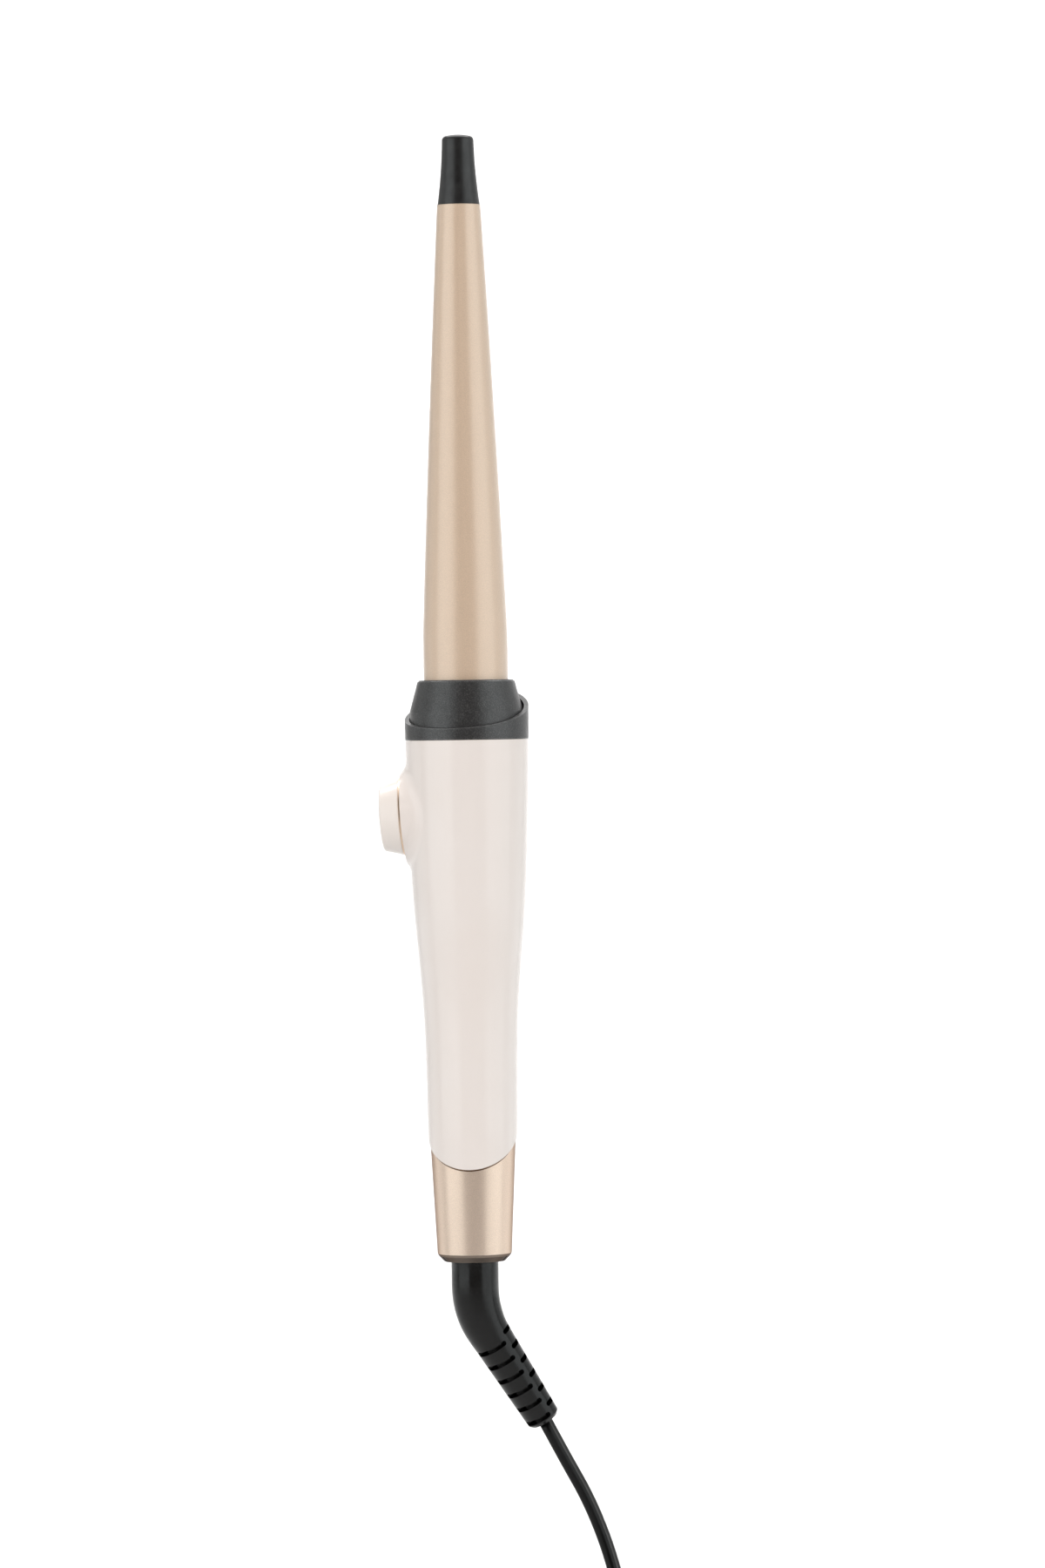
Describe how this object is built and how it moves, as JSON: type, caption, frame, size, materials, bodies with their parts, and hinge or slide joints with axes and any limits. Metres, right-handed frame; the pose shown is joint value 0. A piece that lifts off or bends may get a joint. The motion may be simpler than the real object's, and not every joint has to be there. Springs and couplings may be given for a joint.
{
  "type": "curling wand",
  "caption": "Hair curling wand: tapered heated barrel with cool tip, dished collar, slim handle with side dial and power button, swivelling cord boot, coiled flat cord and two-pin plug.",
  "frame": {"origin": "on the wand's axis at the middle of the hand's grip, 84 mm above the end of the cuff", "axes": "+Z along the barrel to its tip, dial on the -X side, -Y the front, cord boot bent to +X"},
  "size_m": [0.1057, 0.1007, 0.5188],
  "materials": {
    "barrel": "satin champagne coating",
    "charcoal": "fine textured charcoal",
    "tip_black": "matte black",
    "shell": "gloss warm white",
    "dial": "satin cream",
    "button": "satin cream",
    "trim": "satin tan",
    "cuff": "metallic champagne",
    "boot": "satin black",
    "cord": "satin black",
    "plug": "satin black",
    "tie": "black strap",
    "pins": "plated",
    "spreader": "mill finish",
    "ceramic": "matte ceramic",
    "film": "amber film",
    "hub": "heat resistant plastic",
    "board": "solder mask",
    "component": "moulded",
    "screw": "zinc plated",
    "lead": "silicone"
  },
  "bodies": {
    "wand": {"barrel_tube": "barrel", "heat_guard_cone": "charcoal", "collar_ring": "charcoal", "cool_tip": "tip_black", "handle_front_shell": "shell", "handle_back_shell": "shell", "dial_trim_ring": "trim", "end_cuff": "cuff", "electrode_front": "pins", "electrode_back": "pins", "heat_spreader_front": "spreader", "heat_spreader_back": "spreader", "tip_anchor_disc": "spreader", "heating_stones": "ceramic", "brushes": "ceramic", "control_chip": "ceramic", "insulation_film": "film", "mica_shield": "film", "barrel_hub": "hub", "board_carrier": "hub", "swivel_bush": "hub", "brush_block": "hub", "terminal_block": "hub", "circuit_board": "board", "capacitor": "component", "triac": "component", "potentiometer": "component", "push_switch": "component", "temperature_sensor": "component", "thermal_fuse": "component", "shell_screws": "screw", "board_screws": "screw", "tip_screw": "screw", "heater_leads": "lead", "mains_leads": "lead"},
    "dial": {"dial_knob": "dial", "dial_clip": "screw"},
    "button": {"power_button": "button"},
    "swivel": {"swivel_spindle": "hub", "slip_rings": "pins", "cord_boot": "boot", "cord_run": "cord", "cord_coil": "cord", "cord_tail": "cord", "coil_tie": "tie", "plug_body": "plug", "plug_sleeve": "plug", "plug_pins": "pins"}
  },
  "joints": [
    {"name": "dial_turn", "type": "hinge", "parent": "wand", "child": "dial", "pos_m": [-0.0195, 0, 0.048], "axis": [-0.9981, 0, -0.061], "range_deg": [0, 270]},
    {"name": "button_press", "type": "slide", "parent": "dial", "child": "button", "axis": [0.9981, 0, 0.061], "range_m": [0, 0.001], "stiffness_N_per_m": 1500},
    {"name": "cord_swivel", "type": "hinge", "parent": "wand", "child": "swivel", "pos_m": [0, 0, -0.084], "axis": [0, 0, 1], "continuous": true}
  ]
}
